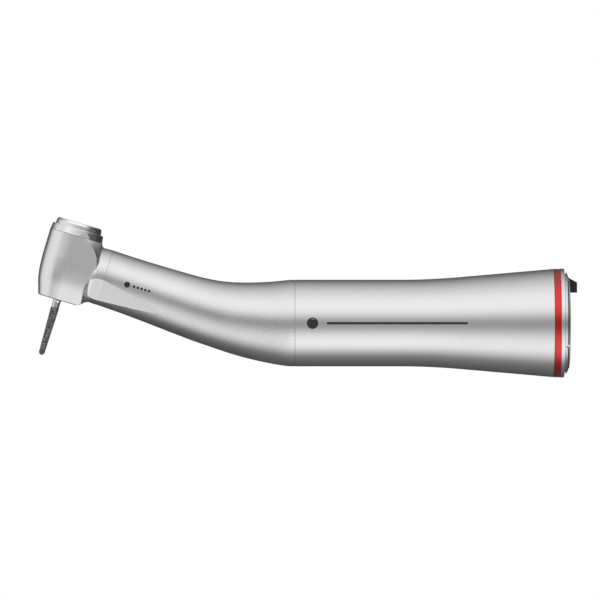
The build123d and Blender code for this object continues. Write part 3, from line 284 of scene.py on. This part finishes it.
FINISHES = {"optical_glass": glass("optical_glass"), "diamond_grit": grit("diamond_grit")}
for table, metallic in ((METALS, 1.0), (PLAIN, 0.0)):
    for name, (colour, roughness, grain, bump, spread, tint) in table.items():
        FINISHES[name] = finish(name, colour, roughness, metallic, grain, bump, spread, tint,
                                **EXTRAS.get(name, {}))

slot_of = {row["node"]: row["material_slot"] for row in record["subparts"]}
for name, thing in nodes.items():
    thing.data.materials.clear()
    thing.data.materials.append(FINISHES[slot_of[name]])


# ---------------------------------------------------------------- surface marks
OUTSIDE = 0.05          # metres from the XZ plane, clear of every piece


def surface(node):
    """Search tree over a CAD node, to lay marks on its near side."""
    mesh = nodes[node].data
    places = [v.co.copy() for v in mesh.vertices]
    return BVHTree.FromPolygons(places, [tuple(p.vertices) for p in mesh.polygons])


def laid(name, outlines, node, lift=0.008):
    """Thin inked figures laid on the camera's side of a node of the housing.

    Each outline is a middle and rings of points (x, z) round it, in metres, which are pushed along Y
    onto the surface. lift is in millimetres.
    """
    tree = surface(node)
    bm = bmesh.new()

    def lay(x, z):
        hit, normal, _, _ = tree.ray_cast(Vector((x, -OUTSIDE, z)), Vector((0, 1, 0)))
        if normal.y > 0:
            normal = -normal
        return bm.verts.new(hit + normal * lift * MM)

    for centre, rings in outlines:
        rows = [[lay(x, z) for x, z in ring] for ring in rings]
        middle = lay(*centre)
        first = rows[0]
        for i in range(len(first)):
            bm.faces.new((middle, first[i], first[(i + 1) % len(first)]))
        for inner, outer in zip(rows, rows[1:]):
            for i in range(len(inner)):
                j = (i + 1) % len(inner)
                bm.faces.new((inner[i], outer[i], outer[j], inner[j]))
    bmesh.ops.recalc_face_normals(bm, faces=bm.faces)
    mesh = bpy.data.meshes.new(name)
    bm.to_mesh(mesh)
    bm.free()
    for polygon in mesh.polygons:
        polygon.use_smooth = True
    mesh.materials.append(FINISHES["mark_ink"])
    thing = bpy.data.objects.new(name, mesh)
    bpy.context.scene.collection.objects.link(thing)
    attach(thing, "housing")


def disc(x, z, radius, steps=32):
    """A round mark."""
    rings = []
    for share in (0.5, 1.0):
        rings.append([(x + share * radius * math.cos(2 * math.pi * i / steps),
                       z + share * radius * math.sin(2 * math.pi * i / steps)) for i in range(steps)])
    return (x, z), rings


def bar(x0, x1, z, width, lengths=26, steps=10):
    """A line mark with round ends, along X, in short lengths that follow the surface."""
    half = width / 2
    start, end = x0 + half, x1 - half
    cuts = [start + (end - start) * number / lengths for number in range(lengths + 1)]
    outlines = []
    for left, right in zip(cuts, cuts[1:]):
        corners = [(left, z - half), (right, z - half), (right, z + half), (left, z + half)]
        outlines.append((((left + right) / 2, z), [corners]))
    for x, way in ((start, -1), (end, 1)):
        turns = [math.pi * (step / steps - 0.5) for step in range(steps + 1)]
        ring = [(x + way * half * math.cos(turn), z + half * math.sin(turn)) for turn in turns]
        outlines.append(((x + way * 0.4 * half, z), [ring]))
    return outlines


sleeve_low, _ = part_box("rear_sleeve")
mark_start = sleeve_low.x + 3.2 * MM
line_start, line_end, line_width = 2.6 * MM, 28.5 * MM, 0.42 * MM
rear_mark = [disc(mark_start, 0, 1.05 * MM)]
rear_mark += bar(mark_start + line_start, mark_start + line_end, 0, line_width)
laid("orientation_mark", rear_mark, "rear_sleeve")

BIG_DOT, SMALL_DOT = 0.55, 0.24         # radius of the dots on the neck, in millimetres
FIRST_DOT, FIRST_GAP, NEXT_GAP = 11.7, 1.35, 0.72   # their places along it
neck_mark = []
for number in range(6):
    big = number == 0
    where = in_head(FIRST_DOT + (0 if big else FIRST_GAP + NEXT_GAP * (number - 1)), 0, -0.05)
    neck_mark.append(disc(where.x, where.z, (BIG_DOT if big else SMALL_DOT) * MM, 24))
laid("ratio_mark", neck_mark, "front_sleeve")


# ---------------------------------------------------------------- painted seam shade
def seam_shade_ring(name, foot, axis, width, inner, outer, steps=144):
    """Thin black ring at the bottom of a groove, round axis from foot, painted shade for a seam's dark line. Sizes
    in millimetres.
    """
    side = axis.orthogonal().normalized()
    other = axis.cross(side)
    section = ((0, inner), (0, outer), (width, outer), (width, inner))
    bm = bmesh.new()
    rings = []
    for step in range(steps):
        turn = 2 * math.pi * step / steps
        out = side * math.cos(turn) + other * math.sin(turn)
        corners = [foot + (axis * along + out * radius) * MM for along, radius in section]
        rings.append([bm.verts.new(corner) for corner in corners])
    for ring, following in zip(rings, rings[1:] + rings[:1]):
        for i in range(4):
            j = (i + 1) % 4
            bm.faces.new((ring[i], ring[j], following[j], following[i]))
    bmesh.ops.recalc_face_normals(bm, faces=bm.faces)
    mesh = bpy.data.meshes.new(name)
    bm.to_mesh(mesh)
    bm.free()
    mesh.materials.append(FINISHES["seal_rubber"])
    thing = bpy.data.objects.new(name, mesh)
    bpy.context.scene.collection.objects.link(thing)
    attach(thing, "housing")


# painted shade: black rings laid in the seams at the cap and in front of the coloured ring, for their dark lines
seam_shade_ring("cap_seam_shade", in_head(0, 0, 5.82), UP, 0.10, 4.88, 4.957)
seam_shade_ring("ring_seam_shade", Vector((-2.985 * MM, 0, 0)), Vector((1, 0, 0)), 0.08, 9.82, 9.94)


# ---------------------------------------------------------------- bur grit
GRAIN = 0.022           # millimetres, the usual depth between the grains
TIP_RADIUS = 0.55       # millimetres
TOP_EDGE = 0.1          # millimetres, the broken edge at the top of the coating


def diamond():
    """The coated working end with real grains on it, in place of the plain CAD solid."""
    mesh = nodes["bur_diamond"].data
    along = [((v.co - HEAD_POINT).dot(UP), v.co) for v in mesh.vertices]
    tip = min(a for a, _ in along)
    top = max(a for a, _ in along)
    axis_radius = {}
    for a, co in along:
        radius = (co - HEAD_POINT - UP * a).length
        key = round((a - tip) / (0.05 * MM))
        axis_radius[key] = max(axis_radius.get(key, 0), radius)
    top_radius = max(r for k, r in axis_radius.items() if k > 100)
    tip_radius = TIP_RADIUS * MM
    rng = random.Random(7)
    rows, around = 240, 72
    bm = bmesh.new()
    side = BACK.copy()
    other = UP.cross(side)
    grid = []
    for row in range(rows + 1):
        share = row / rows
        place = tip + (top - tip) * share
        depth = place - tip
        share_of_cone = max(0, depth - tip_radius) / (top - tip - tip_radius)
        cone = tip_radius + (top_radius - tip_radius) * share_of_cone
        if depth < tip_radius:
            cone = math.sqrt(max(0, tip_radius**2 - (tip_radius - depth) ** 2))
        if top - place < TOP_EDGE * MM:
            cone -= (TOP_EDGE * MM - (top - place)) * 0.8
        line = []
        for step in range(around):
            turn = 2 * math.pi * (step + 0.5 * (row % 2)) / around
            bump = rng.gauss(0, 1)
            reach = max(0.0, cone + min(0.0, GRAIN * MM * (bump - 1))) if cone > 0 else 0
            out = side * math.cos(turn) + other * math.sin(turn)
            line.append(bm.verts.new(HEAD_POINT + UP * place + out * reach))
        grid.append(line)
    for lower, upper in zip(grid, grid[1:]):
        for i in range(around):
            j = (i + 1) % around
            bm.faces.new((lower[i], lower[j], upper[j], upper[i]))
    bm.faces.new(list(reversed(grid[0])))
    bm.faces.new(grid[-1])
    bmesh.ops.recalc_face_normals(bm, faces=bm.faces)
    made = bpy.data.meshes.new("bur_grit")
    bm.to_mesh(made)
    bm.free()
    made.materials.append(FINISHES["diamond_grit"])
    thing = bpy.data.objects.new("bur_grit", made)
    bpy.context.scene.collection.objects.link(thing)
    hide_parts("bur_diamond")
    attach(thing, "bur")


diamond()
